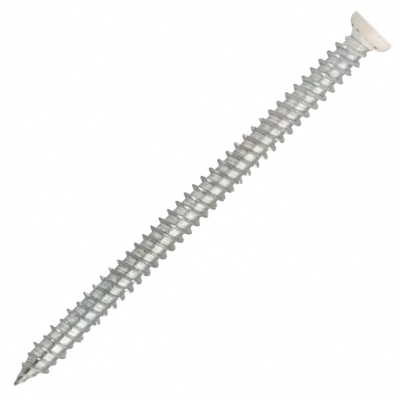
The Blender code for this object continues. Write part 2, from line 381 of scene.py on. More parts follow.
@dataclass(frozen=True)
class ZincPlate:
    """Bright zinc plating on a rolled steel thread, with marks that run along the thread."""

    lead: float = LEAD
    length: float = LENGTH
    dent: float = 0.055 * MM
    clean_and_lit: Colour = (0.99, 0.985, 0.985)
    dull: Colour = (0.76, 0.76, 0.76)
    painted_shade_side: Colour = (0.50, 0.50, 0.50)
    head_dull: Colour = (0.66, 0.66, 0.66)
    flank: Colour = (0.80, 0.80, 0.80)
    head_flank: Colour = (0.98, 0.98, 0.98)
    crest: Colour = (0.70, 0.70, 0.70)
    handled: Colour = (0.97, 0.97, 0.975)
    stain_and_shade: Colour = (0.44, 0.44, 0.43)
    bare: Colour = (0.26, 0.25, 0.23)
    fresh: Colour = (0.90, 0.90, 0.88)
    at_point: Colour = (0.87, 0.88, 0.845)
    painted_dark_reflection: Colour = (0.58, 0.58, 0.56)
    painted_limb_shade: Colour = (0.91, 0.91, 0.91)
    green: Colour = (0.90, 1.00, 0.94)
    blue: Colour = (0.90, 0.96, 1.00)
    pink: Colour = (1.00, 0.94, 0.95)
    straw: Colour = (1.00, 0.98, 0.90)
    spray: Colour = (0.82, 0.77, 0.70)
    mist: Colour = (0.80, 0.80, 0.77)
    along: tuple[tuple[float, Colour], ...] = (
        (0.000, (0.943, 0.929, 0.880)), (0.042, (0.943, 0.927, 0.885)), (0.070, (0.928, 0.948, 0.933)),
        (0.160, (0.943, 0.947, 0.905)), (0.240, (0.943, 0.926, 0.896)), (0.280, (0.943, 0.934, 0.879)),
        (0.330, (0.950, 0.940, 0.860)), (0.380, (0.950, 0.944, 0.896)), (0.420, (0.937, 0.950, 0.905)),
        (0.480, (0.950, 0.944, 0.901)), (0.580, (0.950, 0.949, 0.894)), (0.680, (0.937, 0.950, 0.901)),
        (0.750, (0.930, 0.969, 0.949)), (0.780, (0.933, 0.988, 0.952)), (0.830, (0.955, 1.000, 0.959)),
        (0.880, (0.986, 1.000, 0.969)), (0.960, (1.000, 0.994, 0.943)), (1.000, (1.000, 0.989, 0.938)),
    )

    def plated(self, graph: Graph, at: ThreadMaps) -> Socket:
        """The plated steel: marks on the roots, dull flanks and crests, painted side shade and light, stains
        and flecks.

        Args:
            graph: The material's nodes.
            at: The screw's numbers.

        Returns:
            The colour.
        """
        # Painted shade: the roots on the +X side are darkened, less so near the point.
        painted_shade_side = at.x.ramp(-0.2 * MM, 1.0 * MM) * (1.0 - at.first_turns * 0.30)
        dull = graph.blend(painted_shade_side, self.dull, self.painted_shade_side)
        dull = graph.blend(at.up.ramp(0.40, 0.22), dull, self.head_dull)
        colour = graph.blend(at.marks.ramp(0.40, 0.57), dull, self.clean_and_lit)
        flank = graph.blend(at.near_head, self.flank, self.head_flank)
        # Painted light: the flanks on the -X side near the point are brightened.
        flank = graph.blend(at.up.ramp(0.72, 0.86) * at.x.ramp(0.2 * MM, -0.6 * MM), flank, self.clean_and_lit)
        colour = graph.blend(at.on_flank * (0.75 + at.near_head * 0.15), colour, flank)
        colour = graph.tint(at.rise.ramp(0.78, 0.95), colour, self.crest)
        middle = at.up.ramp(0.80, 0.72) * at.up.ramp(0.20, 0.28) * at.x.ramp(0.0, -0.5 * MM)
        colour = graph.tint(middle * (1.0 - at.on_flank * 0.8), colour, self.handled)
        colour = graph.blend(at.stains * (0.55 + at.toward_point * 0.25), colour, self.stain_and_shade)
        smooth = at.x.ramp(0.1 * MM, -0.3 * MM) * (1.0 - at.on_flank)
        sparse = at.up.ramp(0.74, 0.82) * 0.40
        flecks = at.grit.ramp(0.54, 0.66) * at.toward_point * (0.85 - sparse - smooth * 0.4)
        return graph.blend(flecks, colour, self.stain_and_shade)

    def tinted(self, graph: Graph, at: ThreadMaps, colour: Socket) -> Socket:
        """The plating's hues, along the screw and in patches, the greyer point and the freshly cut notches.

        A dark line along the point's front, broken where the thread crosses, is a painted reflection.

        Args:
            graph: The material's nodes.
            at: The screw's numbers.
            colour: The plated steel.

        Returns:
            The tinted colour.
        """
        tone = graph.along(at.up + (at.patches - 0.5) * 0.05, self.along)
        colour = graph.tint(1.0 - at.on_flank * 0.45, colour, tone)
        # Painted shade: the far -X side of the turns near the point is darkened.
        colour = graph.tint(at.first_turns * at.x.ramp(-1.6 * MM, -2.3 * MM), colour, self.painted_limb_shade)
        colour = graph.tint(at.near_point, colour, self.at_point)
        colour = graph.blend(at.near_point * at.on_flank * 0.6, colour, self.clean_and_lit)
        # Painted reflection: a dark line along the front of the point.
        line = abs(at.x - 0.26 * MM + (at.blotches - 0.5) * 0.5 * MM).ramp(0.60 * MM, 0.15 * MM)
        line = line * at.y.ramp(0.1 * MM, -0.1 * MM) * at.up.ramp(0.83, 0.96)
        line = line * (1.0 - at.rise.ramp(0.1, 0.5) * 0.7) * (0.35 + at.patches.ramp(0.40, 0.56) * 0.65)
        colour = graph.tint(line, colour, self.painted_dark_reflection)
        glaze = 0.5 - (at.on_flank * 0.35).larger(at.near_point * 0.4)
        for hue, low, high in ((at.hue, self.pink, self.green), (at.other_hue, self.straw, self.blue)):
            colour = graph.tint(hue.ramp(0.54, 0.66) * glaze, colour, high)
            colour = graph.tint(hue.ramp(0.46, 0.34) * glaze, colour, low)
        return graph.blend(at.cut * 0.9, colour, self.fresh)

    def material(self) -> bpy.types.Material:
        """Puts the plating, the coat's mist and spray, the painted crevice shade and the bare steel together.

        Returns:
            The material.
        """
        made, graph = new_material("bright_zinc")
        at = ThreadMaps(graph, self.lead, self.length)
        colour = self.tinted(graph, at, self.plated(graph, at))
        colour = graph.blend(at.misted, colour, self.mist)
        colour = graph.blend(at.sprayed * 0.92, colour, self.spray)
        # Painted shade: a dark line round the neck where the thread ends, weaker on the -X side.
        colour = graph.blend(at.seam * (0.62 - at.side.ramp(0.2, 1.0) * 0.42), colour, self.stain_and_shade)
        # Bare steel under the coat's edge and at the tip; its dark colour in the chips is partly painted
        # shade.
        colour = graph.blend(at.chipped.larger(at.at_tip * 0.8), colour, self.bare)

        rough = 0.20 + at.marks.ramp(0.60, 0.35) * 0.14 + at.on_flank * (0.20 + at.near_head * 0.14)
        rough = rough + at.near_point * 0.05 + at.misted.larger(at.sprayed * 0.22) + at.stains * 0.1
        chalky = at.on_flank * at.near_head * at.y.ramp(-1.2 * MM, -2.3 * MM) * 0.20
        coated = (at.sprayed * 0.95).larger(at.chipped * 0.6).larger(at.misted * 0.9).larger(chalky)
        height = at.streaks * 0.30 + at.blotches * 0.50 + at.scores * 0.12 + at.fine * 0.08
        calm = at.up.ramp(0.54, 0.44) * (0.4 - at.up.ramp(0.24, 0.16) * 0.2)
        height = (height - 0.5) * (1.0 - at.on_flank * 0.7) * (1.0 - calm + at.toward_point * 0.3) + 0.5
        normal = graph.bump(height, self.dent, 0.9)
        graph.surface(graph.principled(colour, rough, 1.0 - coated, normal))
        return made


@dataclass(frozen=True)
class WhiteCoat:
    """A satin warm-white coat with a fine skin, rubbed thin at the rim and chipped along its edge."""

    dent: float = 0.03 * MM
    coat: Colour = (0.80, 0.715, 0.655)
    warm: Colour = (0.79, 0.685, 0.61)
    cool: Colour = (0.75, 0.755, 0.68)
    rubbed: Colour = (0.62, 0.62, 0.60)
    painted_edge_light: Colour = (0.95, 0.93, 0.89)
    shaded: Colour = (0.89, 0.94, 0.94)
    pale: Colour = (0.88, 0.83, 0.76)
    bare: Colour = (0.16, 0.15, 0.13)
    dark_stroke: tuple[Place, Place] = ((3.43 * MM, -1.62 * MM, 3.32 * MM), (3.98 * MM, -2.52 * MM, 2.59 * MM))

    def material(self) -> bpy.types.Material:
        """Puts the coat's clouds, its rubbed rim, its painted light near the face and at its edge, and its
        dark stroke together.

        Returns:
            The material.
        """
        made, graph = new_material("satin_white_coat")
        point, x, y, z = graph.place()
        radius = graph.maths("SQRT", x * x + y * y)

        cloud = graph.noise(point, 330.0)
        other = graph.noise(graph.vector(x + 0.2, y, z), 260.0)
        skin = graph.noise(point, 2400.0)
        grain = graph.noise(point, 9000.0)

        colour = graph.blend(cloud.ramp(0.42, 0.62), self.coat, self.warm)
        colour = graph.blend(other.ramp(0.50, 0.66) * 0.7, colour, self.cool)
        colour = graph.tint(x.ramp(-1.6 * MM, 2.8 * MM), colour, self.shaded)
        # Painted light: the coat turns paler towards the face, more on the -X side.
        pale = z.ramp(1.9 * MM, 0.7 * MM) * (0.35 + x.ramp(1.5 * MM, -2.0 * MM) * 0.55)
        colour = graph.blend(pale, colour, self.pale)
        # Painted light: the coat is lighter along the face's edge.
        edge = z.ramp(0.45 * MM, 0.10 * MM) * radius.ramp(4.9 * MM, 5.2 * MM)
        rim = radius.ramp(5.35 * MM, 5.58 * MM) * z.ramp(1.7 * MM, 0.8 * MM) * (1.0 - edge)
        colour = graph.blend(rim * skin.ramp(0.5, 0.62) * 0.5, colour, self.rubbed)
        colour = graph.blend(edge, colour, self.painted_edge_light)
        # A dark stroke across the coat under the head.
        dark_stroke = graph.from_line(point, *self.dark_stroke) + (skin - 0.5) * 0.25 * MM
        colour = graph.blend(dark_stroke.ramp(0.27 * MM, 0.15 * MM) * 0.85, colour, self.bare)

        rough = 0.38 + (grain - 0.5) * 0.2 + rim * 0.08
        normal = graph.bump(skin * 0.7 + grain * 0.3, self.dent, 0.35)
        graph.surface(graph.principled(colour, rough, 0.0, normal))
        return made


# Meshes


def share_between(value: Array, start: float, length: float) -> Array:
    """0 at start, 1 a length further on, straight between them and held past them."""
    return np.clip((value - start) / length, 0.0, 1.0)


def wander(where: Array, seed: int, waves: int, slowest: float, fastest: float) -> Array:
    """Smooth random wander: a sum of sines with seeded rates and phases, scaled to about 1.

    Args:
        where: Where it is read, with any shape.
        seed: Picks the rates and phases.
        waves: How many sines.
        slowest: The lowest rate, in waves per unit of where.
        fastest: The highest rate.

    Returns:
        The wander, in the shape of where.
    """
    random = np.random.default_rng(seed)
    rates = random.uniform(slowest, fastest, waves) * TURN
    phases = random.uniform(0.0, TURN, waves)
    return np.sin(where[..., None] * rates + phases).sum(axis=-1) / math.sqrt(waves)


def mesh_from(name: str, points: Array, quads: Array, triangles: Array | None = None) -> bpy.types.Mesh:
    """A mesh from whole arrays.

    Args:
        name: The mesh's name.
        points: (n, 3), in metres.
        quads: (m, 4), numbers of points.
        triangles: (k, 3), numbers of points, or None.

    Returns:
        The mesh.
    """
    faces = quads.tolist() + ([] if triangles is None else triangles.tolist())
    mesh = bpy.data.meshes.new(name)
    mesh.from_pydata(points.tolist(), [], faces)
    mesh.update()
    return mesh


def finish_mesh(mesh: bpy.types.Mesh, sharp_degrees: float) -> None:
    """Turns a closed mesh's faces outwards and shades it smooth, apart from edges that turn sharply.

    Args:
        mesh: The mesh.
        sharp_degrees: The angle past which an edge stays sharp.
    """
    body = bmesh.new()
    body.from_mesh(mesh)
    bmesh.ops.recalc_face_normals(body, faces=body.faces[:])
    body.to_mesh(mesh)
    body.free()
    mesh.shade_smooth()
    mesh.set_sharp_from_angle(angle=math.radians(sharp_degrees))
    mesh.update()


def ring_faces(rings: int, steps: int) -> Array:
    """Faces between neighbouring rings of a grid whose rows are closed.

    Args:
        rings: How many rings.
        steps: How many points a ring has.

    Returns:
        (faces, 4).
    """
    ring, step = np.meshgrid(np.arange(rings - 1), np.arange(steps), indexing="ij")
    following = (step + 1) % steps
    here, there = ring * steps, (ring + 1) * steps
    return np.stack([here + step, here + following, there + following, there + step], axis=-1).reshape(-1, 4)


def angles_round(steps: int) -> Array:
    """The angles of a whole turn's points."""
    return np.arange(steps) / steps * TURN


def turned(radii: Array, heights: Array, steps: int) -> Array:
    """A surface of revolution: each profile point's distance from the axis, carried round by an angle.

    Args:
        radii: Distances from the axis, (rings,) or (rings, steps).
        heights: Heights, in the same shape.
        steps: How many points go round.

    Returns:
        (rings, steps, 3).
    """
    angle = angles_round(steps)
    reach = np.broadcast_to(radii.reshape(len(radii), -1), (len(radii), steps))
    level = np.broadcast_to(heights.reshape(len(heights), -1), (len(heights), steps))
    return np.stack([reach * np.cos(angle), reach * np.sin(angle), level], axis=-1)


def closed_rings(name: str, rings: Array, first_pole: float, last_pole: float) -> bpy.types.Mesh:
    """A closed surface through a stack of rings, with a point on the axis at each end.

    Args:
        name: The mesh's name.
        rings: (rings, steps, 3), in order along the surface.
        first_pole: The height on the axis before the first ring.
        last_pole: The height on the axis after the last ring.

    Returns:
        The mesh.
    """
    count, steps, _ = rings.shape
    points = np.concatenate([rings.reshape(-1, 3), [[0.0, 0.0, first_pole], [0.0, 0.0, last_pole]]])
    step = np.arange(steps)
    following = (step + 1) % steps
    first = np.stack([np.full(steps, count * steps), following, step], axis=-1)
    base = (count - 1) * steps
    last = np.stack([np.full(steps, count * steps + 1), base + step, base + following], axis=-1)
    return mesh_from(name, points, ring_faces(count, steps), np.concatenate([first, last]))


# The threaded shank


@dataclass
class ThreadedShank:
    """The two-start thread from inside the head to the point, with the neck that carries the head."""

    length: float = LENGTH
    lead: float = LEAD
    starts: int = 2
    crest_radius: float = 3.79 * MM
    low_crest_radius: float = 3.22 * MM
    root_at_point: float = 2.72 * MM
    root_at_head: float = 2.56 * MM
    crest_flat: float = 0.26 * MM
    tooth_at_point: float = 0.80 * MM
    tooth_at_head: float = 1.08 * MM
    first_crest: float = 9.8 * MM
    low_start: float = 20.0 * MM
    low_rise: float = 13.0 * MM
    run_out_start: float = 8.8 * MM
    run_out_length: float = 4.4 * MM
    point_length: float = 8.0 * MM
    point_radius: float = 0.27 * MM
    nose: float = 0.07 * MM
    notch_rows: int = 3
    notch_depth: float = 0.95 * MM
    notch_width: float = 2.15 * MM
    notch_row_lead: float = 133.2 * MM
    first_notch: float = 0.033
    notch_bottom: float = 0.10 * MM
    notch_edge: float = 0.06 * MM
    notches_start: float = 6.7 * MM
    notches_grow: float = 0.6 * MM
    foot: float = 2.4 * MM
    neck_radius: float = 3.42 * MM
    neck_foot: float = 3.36 * MM
    neck_top: float = 4.70 * MM
    shoulder_radius: float = SHOULDER_RADIUS
    shoulder_height: float = SHOULDER_HEIGHT
    coat: float = 0.05 * MM
    foot_softness: float = 0.045
    crest_softness: float = 0.02
    roughness: float = 0.025 * MM
    crest_seed: int = 11
    lean_seed: int = 23
    steps: int = 96
    sharp_degrees: float = 38.0
    finish: ZincPlate = field(default_factory=ZincPlate)

    @property
    def pitch(self) -> float:
        """How far neighbouring crests lie apart."""
        return self.lead / self.starts

    def across_tooth(self, half_foot: Array) -> Array:
        """Axial distances from the crest to the middle of the gap, in order.

        The crest's flat, the flank, the fillet at its foot and half of the gap each get their own points.

        Args:
            half_foot: Half of the tooth's width at its foot, one for each row.

        Returns:
            (rows, points).
        """
        half_flat = self.crest_flat / 2
        rows = half_foot[:, None]
        crest = np.broadcast_to(half_flat * np.array([0.0, 1.1]), (len(half_foot), 2))
        flank = half_flat * 1.1 + np.array([0.2, 0.42, 0.64, 0.83]) * (rows - half_flat * 1.1)
        fillet = np.array([0.97, 1.10, 1.26]) * rows
        gap = fillet[:, -1:] + np.array([0.5, 1.0]) * (self.pitch / 2 - fillet[:, -1:])
        return np.concatenate([crest, flank, fillet, gap], axis=1)

    def profile_height(self, offset: Array, half_foot: Array) -> Array:
        """How high the tooth stands at an axial distance from its crest, from 0 at the root to 1.

        The flank is a straight line from the foot to the edge of the crest's flat. A soft maximum rounds the
        foot into the root, and a soft minimum rounds the crest's edge.

        Args:
            offset: Axial distance from the crest, without its sign.
            half_foot: Half of the tooth's width at its foot.

        Returns:
            0 to 1.
        """
        half_flat = self.crest_flat / 2
        line = (half_foot - offset) / (half_foot - half_flat)
        foot = 0.5 * (line + np.sqrt(line**2 + self.foot_softness**2))
        return 0.5 * (foot + 1.0 - np.sqrt((foot - 1.0) ** 2 + self.crest_softness**2))

    def notch_radius(self, angle: Array, height: Array) -> Array:
        """How far from the axis a crest may stand, so that three rows of notches cut across the crests.

        A row goes slowly round the screw, left-handed. From its middle, the limit rises in a straight line
        of the distance along the crest, rounded at the bottom, and passes the full crest at the notch's edge.

        Args:
            angle: The crest's angle about the axis.
            height: The crest's height.

        Returns:
            The radius, in the shape of angle.
        """
        row_lead, rows = self.notch_row_lead, self.notch_rows
        in_rows = rows * (angle / TURN - self.first_notch - (self.length - height) / row_lead)
        away = (in_rows - np.round(in_rows)) / rows * TURN * self.crest_radius
        rounded = np.sqrt(away**2 + self.notch_bottom**2)
        depth = self.notch_depth * share_between(self.length - height, self.notches_start, self.notches_grow)
        return self.crest_radius - depth * (1.0 - rounded / (self.notch_width / 2))

    def one_start(self, start: int, turn: Array, high: Array) -> Array:
        """One start's part of the strip: its tooth, and half of the gap on either side.

        The radius is the root's plus the tooth's height times the profile. The tooth fades into the neck, its
        crest and its lean wander a little, and the notches limit how far it reaches.

        Args:
            start: Which start it is. The low one is 0.
            turn: How many turns each row has gone.
            high: The height of the high start's crest in each row.

        Returns:
            The height, the radius, how far a notch has cut into the tooth there, and how high in the tooth it
            lies, as (4, rows, columns).
        """
        crest = high + self.pitch * (self.starts - 1 - start)
        below_point = self.length - crest
        to_head = share_between(below_point, 0.0, self.length)
        half_foot = (self.tooth_at_point + (self.tooth_at_head - self.tooth_at_point) * to_head) / 2
        root = self.root_at_point + (self.root_at_head - self.root_at_point) * to_head
        grown = share_between(below_point, self.low_start, self.low_rise) if start == 0 else 1.0
        full = self.low_crest_radius + (self.crest_radius - self.low_crest_radius) * grown
        faded = share_between(self.run_out_start - crest, 0.0, self.run_out_length) ** 2
        full = full + (root - full) * faded
        full = full + self.roughness * wander(turn + 7.0 * start, self.crest_seed, 9, 0.4, 3.5)
        half = self.across_tooth(half_foot)
        offset = np.concatenate([half[:, ::-1], -half[:, 1:]], axis=1)
        height = self.profile_height(np.abs(offset), half_foot[:, None])
        lean = self.roughness * wander(turn + 3.0 * start, self.lean_seed, 9, 0.3, 3.0)
        limit = np.maximum(self.notch_radius(TURN * turn, crest), root)[:, None]
        whole = root[:, None] + (full - root)[:, None] * height
        cut = share_between(whole - limit, 0.0, self.notch_edge)
        rise = height * (1.0 - faded)[:, None]
        z = crest[:, None] + offset + lean[:, None] * height
        return np.stack([z, np.minimum(whole, limit), cut, rise])[..., :-1]

    def surface(self, start_crest: float, turns: int) -> tuple[Array, Array, Array]:
        """The helical strip: rows go round with the thread, and columns go down one lead.

        A row's crest climbs one lead a turn, and each column keeps its axial offset from that crest. The
        point's cone narrows the radius.

        Args:
            start_crest: The height of the high start's crest in the first row.
            turns: How many turns.

        Returns:
            (rows, columns, 3), how far a notch has cut into the tooth there, and how high in the tooth it
            lies, both (rows, columns).
        """
        turn = np.arange(turns * self.steps + 1) / self.steps
        high = start_crest + self.lead * turn
        starts = [self.one_start(start, turn, high) for start in range(self.starts)]
        z, radius, cut, rise = np.concatenate(starts, axis=-1)
        cone = share_between(self.length - self.nose - z, 0.0, self.point_length)
        radius = self.point_radius + (radius - self.point_radius) * cone
        angle = TURN * turn[:, None]
        return np.stack([radius * np.cos(angle), radius * np.sin(angle), z], axis=-1), cut, rise

    def strip_faces(self, rows: int, columns: int) -> Array:
        """Faces of the helical strip. The lower edge of a row is the upper edge of the row a turn earlier.

        Args:
            rows: Rows of points.
            columns: Columns of points.

        Returns:
            (faces, 4).
        """
        row, column = np.meshgrid(np.arange(rows - 1), np.arange(columns), indexing="ij")
        wraps = column == columns - 1
        right = np.where(wraps, (row - self.steps) * columns, row * columns + column + 1)
        above_right = np.where(wraps, (row + 1 - self.steps) * columns, (row + 1) * columns + column + 1)
        here = row * columns + column
        above = here + columns
        faces = np.stack([here, right, above_right, above], axis=-1).reshape(-1, 4)
        return faces[~(wraps & (row < self.steps)).reshape(-1)]

    def cut_flat(self, mesh: bmesh.types.BMesh, height: float, keep_above: bool) -> bmesh.types.BMFace:
        """Cuts a mesh level and closes the cut.

        Args:
            mesh: The mesh.
            height: Where it is cut.
            keep_above: Which side stays.

        Returns:
            The new face.
        """
        cut = bmesh.ops.bisect_plane(
            mesh,
            geom=mesh.verts[:] + mesh.edges[:] + mesh.faces[:],
            plane_co=(0.0, 0.0, height),
            plane_no=(0.0, 0.0, 1.0),
            clear_inner=keep_above,
            clear_outer=not keep_above,
            dist=1e-7,
        )
        rim = [item for item in cut["geom_cut"] if isinstance(item, bmesh.types.BMEdge)]
        return bmesh.ops.contextual_create(mesh, geom=rim)["faces"][0]

    def thread_mesh(self) -> bpy.types.Mesh:
        """Closes the helical strip with a level cut at its foot and one near the point, with a tip on it.

        Returns:
            The thread as one closed mesh.
        """
        a_crest = self.length - self.first_crest
        below = math.ceil((a_crest - self.foot) / self.lead) + 2
        above = math.ceil(self.first_crest / self.lead) + 2
        points, cut, rise = self.surface(a_crest - below * self.lead, below + above)
        rows, columns, _ = points.shape
        plain = mesh_from("thread", points.reshape(-1, 3), self.strip_faces(rows, columns))
        for name, values in ((CUT, cut), (RISE, rise)):
            plain.attributes.new(name, "FLOAT", "POINT").data.foreach_set("value", values.reshape(-1))
        mesh = bmesh.new()
        mesh.from_mesh(plain)
        bpy.data.meshes.remove(plain)
        loose = [vertex for vertex in mesh.verts if not vertex.link_faces]
        bmesh.ops.delete(mesh, geom=loose, context="VERTS")
        self.cut_flat(mesh, self.foot, keep_above=True)
        nose = self.cut_flat(mesh, self.length - self.nose, keep_above=False)
        apex = bmesh.ops.poke(mesh, faces=[nose])["verts"][0]
        apex.co = (0.0, 0.0, self.length)
        made = bpy.data.meshes.new("thread")
        mesh.to_mesh(made)
        mesh.free()
        return made

    def neck_mesh(self) -> bpy.types.Mesh:
        """The neck's cone and the shoulder that the coat lies on, turned about the axis.

        Returns:
            The closed mesh.
        """
        slope = (self.neck_radius - self.root_at_head) / (self.neck_top - self.neck_foot)
        sunk = 0.5 * MM
        rows = [
            (1.2 * MM, self.neck_top + sunk),
            (self.root_at_head - slope * sunk, self.neck_top + sunk),
            (self.root_at_head, self.neck_top),
            (self.root_at_head + slope * 0.45 * MM, self.neck_top - 0.45 * MM),
            (self.neck_radius - slope * 0.35 * MM, self.neck_foot + 0.35 * MM),
            (self.neck_radius - slope * 0.12 * MM, self.neck_foot + 0.12 * MM),
            (self.neck_radius + 0.04 * MM, self.neck_foot + 0.005 * MM),
            (self.neck_radius + 0.16 * MM, self.neck_foot - 0.05 * MM),
            (self.shoulder_radius - 0.08 * MM, self.shoulder_height + 0.025 * MM - self.coat),
            (self.shoulder_radius + 0.04 * MM, self.shoulder_height - 0.03 * MM - self.coat),
            (self.shoulder_radius + 0.55 * MM, self.shoulder_height - 0.425 * MM - self.coat),
            (self.shoulder_radius + 0.55 * MM, self.foot - 0.5 * MM),
        ]
        radii, heights = np.array(rows).T
        rings = turned(radii, heights, 2 * self.steps)
        return closed_rings("neck", rings, rows[0][1], rows[-1][1])

    def build(self) -> bpy.types.Object:
        """Makes the shank, dresses it and ties it to the frame.

        Returns:
            The piece.
        """
        joined = bmesh.new()
        for mesh in (self.thread_mesh(), self.neck_mesh()):
            joined.from_mesh(mesh)
            bpy.data.meshes.remove(mesh)
        made = bpy.data.meshes.new("threaded_shank")
        joined.to_mesh(made)
        joined.free()
        finish_mesh(made, self.sharp_degrees)
        made.materials.append(self.finish.material())
        shank = put("threaded_shank", made)
        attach(shank, "root")
        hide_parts("fixing_screw")
        return shank


# The head


@dataclass
class CoatedHead:
    """The flat head with its white coat, whose edge lies on the shoulder, and its six-lobe socket."""

    radius: float = 5.60 * MM
    face_edge: float = 0.45 * MM
    rim_height: float = 1.20 * MM
    cheek_radius: float = 5.13 * MM
    cheek_height: float = 2.26 * MM
    shoulder_radius: float = SHOULDER_RADIUS
    shoulder_height: float = SHOULDER_HEIGHT
    edge_radius: float = 4.15 * MM
    coat: float = 0.07 * MM
    lobe_reach: float = 2.80 * MM
    flute_reach: float = 1.975 * MM
    lobe_radius: float = 0.46 * MM
    lobes: int = 6
    socket_depth: float = 2.70 * MM
    socket_point: float = 0.30 * MM
    chamfer: float = 0.15 * MM
    chamfer_depth: float = 0.35 * MM
    core_radius: float = 3.6 * MM
    core_height: float = 2.2 * MM
    lip: float = 0.07 * MM
    cheek_rings: tuple[float, ...] = (2.12 * MM, 1.92 * MM, 1.7 * MM, 1.45 * MM, 1.3 * MM)
    rim_rings: tuple[float, ...] = (0.95 * MM, 0.65 * MM)
    socket_rings: tuple[float, ...] = (0.5 * MM, 0.9 * MM, 1.6 * MM, 2.3 * MM, 2.62 * MM)
    steps: int = 192
    sharp_degrees: float = 32.0
    chips: tuple[tuple[float, float, float], ...] = (
        (2.0, 7.0, 0.34), (333.0, 8.0, 0.30), (300.0, 7.0, 0.36), (264.0, 8.0, 0.16), (242.0, 6.0, 0.16),
        (224.0, 8.0, 0.48), (196.0, 8.0, 0.24), (152.0, 7.0, 0.30), (118.0, 9.0, 0.18), (74.0, 6.0, 0.34),
        (38.0, 8.0, 0.20),
    )
    finish: WhiteCoat = field(default_factory=WhiteCoat)

    def socket_reach(self) -> Array:
        """How far the six-lobe outline lies from the axis at each angle.

        A ray from the axis leaves a lobe's circle on its far side, and meets the flute's circle, whose centre
        lies further out, on its near side. The two circles touch, so the distance between their centres is
        the sum of their radii, and the line between those centres gives the angle where one takes over.

        Returns:
            (steps,).
        """
        half_step = math.pi / self.lobes
        lobe_centre = self.lobe_reach - self.lobe_radius
        lean = 2 * lobe_centre * math.cos(half_step)
        reach = lobe_centre**2 + self.flute_reach**2 - lean * self.flute_reach - self.lobe_radius**2
        flute_radius = reach / (2 * self.lobe_radius - 2 * self.flute_reach + lean)
        flute_centre = self.flute_reach + flute_radius
        across = flute_centre * math.sin(half_step)
        toward = math.atan2(across, flute_centre * math.cos(half_step) - lobe_centre)
        along = lobe_centre + self.lobe_radius * math.cos(toward)
        touch = math.atan2(self.lobe_radius * math.sin(toward), along)
        from_lobe = (angles_round(self.steps) + half_step) % (2 * half_step) - half_step
        from_flute = half_step - np.abs(from_lobe)
        inside = np.clip(self.lobe_radius**2 - (lobe_centre * np.sin(from_lobe)) ** 2, 0.0, None)
        outside = np.clip(flute_radius**2 - (flute_centre * np.sin(from_flute)) ** 2, 0.0, None)
        on_lobe = lobe_centre * np.cos(from_lobe) + np.sqrt(inside)
        on_flute = flute_centre * np.cos(from_flute) - np.sqrt(outside)
        return np.where(np.abs(from_lobe) < touch, on_lobe, on_flute)

    def coat_edge(self) -> Array:
        """How far the coat's edge lies from the axis at each angle: a wavering line with a few chips.

        Returns:
            (steps,).
        """
        angle = angles_round(self.steps)
        waves = np.sin(3 * angle + 1.0) + np.sin(7 * angle) + np.sin(13 * angle + 2.0)
        edge = self.edge_radius + 0.035 * MM * waves
        for degrees, width, depth in self.chips:
            away = (np.degrees(angle) - degrees + 180.0) % 360.0 - 180.0
            edge = np.maximum(edge, self.edge_radius + depth * MM * np.exp(-((away / width) ** 4)))
        return edge

    def under_height(self, radius: Array) -> Array:
        """The height of the coat's outer face under the head at a distance from the axis.

        It falls in a straight line from the shoulder's corner to the cheek, and along the shoulder inside it.

        Args:
            radius: The distance from the axis.

        Returns:
            The height.
        """
        cone = (self.shoulder_height - self.cheek_height) / (self.cheek_radius - self.shoulder_radius)
        outside = self.shoulder_height - (radius - self.shoulder_radius) * cone
        inside = self.shoulder_height + (self.shoulder_radius - radius) / 3.0
        return np.where(radius > self.shoulder_radius, outside, inside)

    def rings(self) -> Array:
        """The head's surface, from inside the shoulder over the coat's edge, round the rim and the face and
        into the socket, as pairs of a distance from the axis and a height.

        Returns:
            (rings, steps, 3).
        """
        edge = self.coat_edge()
        under = self.under_height(edge)
        outer = edge + self.lip
        stack: list[tuple[Array | float, Array | float]] = [
            (self.core_radius / 2, self.core_height),
            (self.core_radius, self.core_height),
            (edge - 0.02 * MM, under - 3.0 * self.coat),
            (edge, under - 0.75 * self.coat),
            (edge + 0.02 * MM, under - 0.2 * self.coat),
        ]
        for share in (0.0, 0.25, 0.5, 0.75, 0.92):
            reach = outer + (self.cheek_radius - outer) * share
            stack.append((reach, self.under_height(reach)))
        stack.append((self.cheek_radius + 0.02 * MM, self.cheek_height - 0.05 * MM))
        fall = (self.radius - self.cheek_radius) / (self.cheek_height - self.rim_height)
        for height in self.cheek_rings:
            stack.append((self.cheek_radius + (self.cheek_height - height) * fall, height))
        stack.append((self.radius - 0.012 * MM, 1.14 * MM))
        stack += [(self.radius, height) for height in self.rim_rings]
        for turn in np.linspace(0.0, math.pi / 2, 7):
            reach = self.radius - self.face_edge * (1 - math.cos(turn))
            stack.append((reach, self.face_edge * (1 - math.sin(turn))))
        socket = self.socket_reach()
        mouth = self.lobe_reach + self.chamfer
        lip = (mouth - socket) * self.chamfer_depth / (mouth - self.flute_reach)
        stack += [(4.4 * MM, 0.0), (mouth + 0.06 * MM, 0.0), (mouth, 0.008 * MM)]
        stack += [(mouth + (socket - mouth) * 0.93, lip * 0.95), (socket, lip + 0.03 * MM)]
        for height in self.socket_rings:
            stack.append((socket, np.maximum(height, lip + 0.1 * MM)))
        stack.append((socket * 0.97, self.socket_depth))
        stack.append((socket * 0.5, self.socket_depth + self.socket_point * 0.5))
        whole = [[np.broadcast_to(value, self.steps) for value in pair] for pair in stack]
        radii, heights = np.stack(whole, axis=1)
        return turned(radii, heights, self.steps)

    def build(self) -> bpy.types.Object:
        """Makes the head, dresses it and ties it to the frame.

        Returns:
            The piece.
        """
        bottom = self.socket_depth + self.socket_point
        mesh = closed_rings("coated_head", self.rings(), self.core_height, bottom)
        finish_mesh(mesh, self.sharp_degrees)
        mesh.materials.append(self.finish.material())
        head = put("coated_head", mesh)
        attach(head, "root")
        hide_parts("fixing_screw")
        return head


# Studio


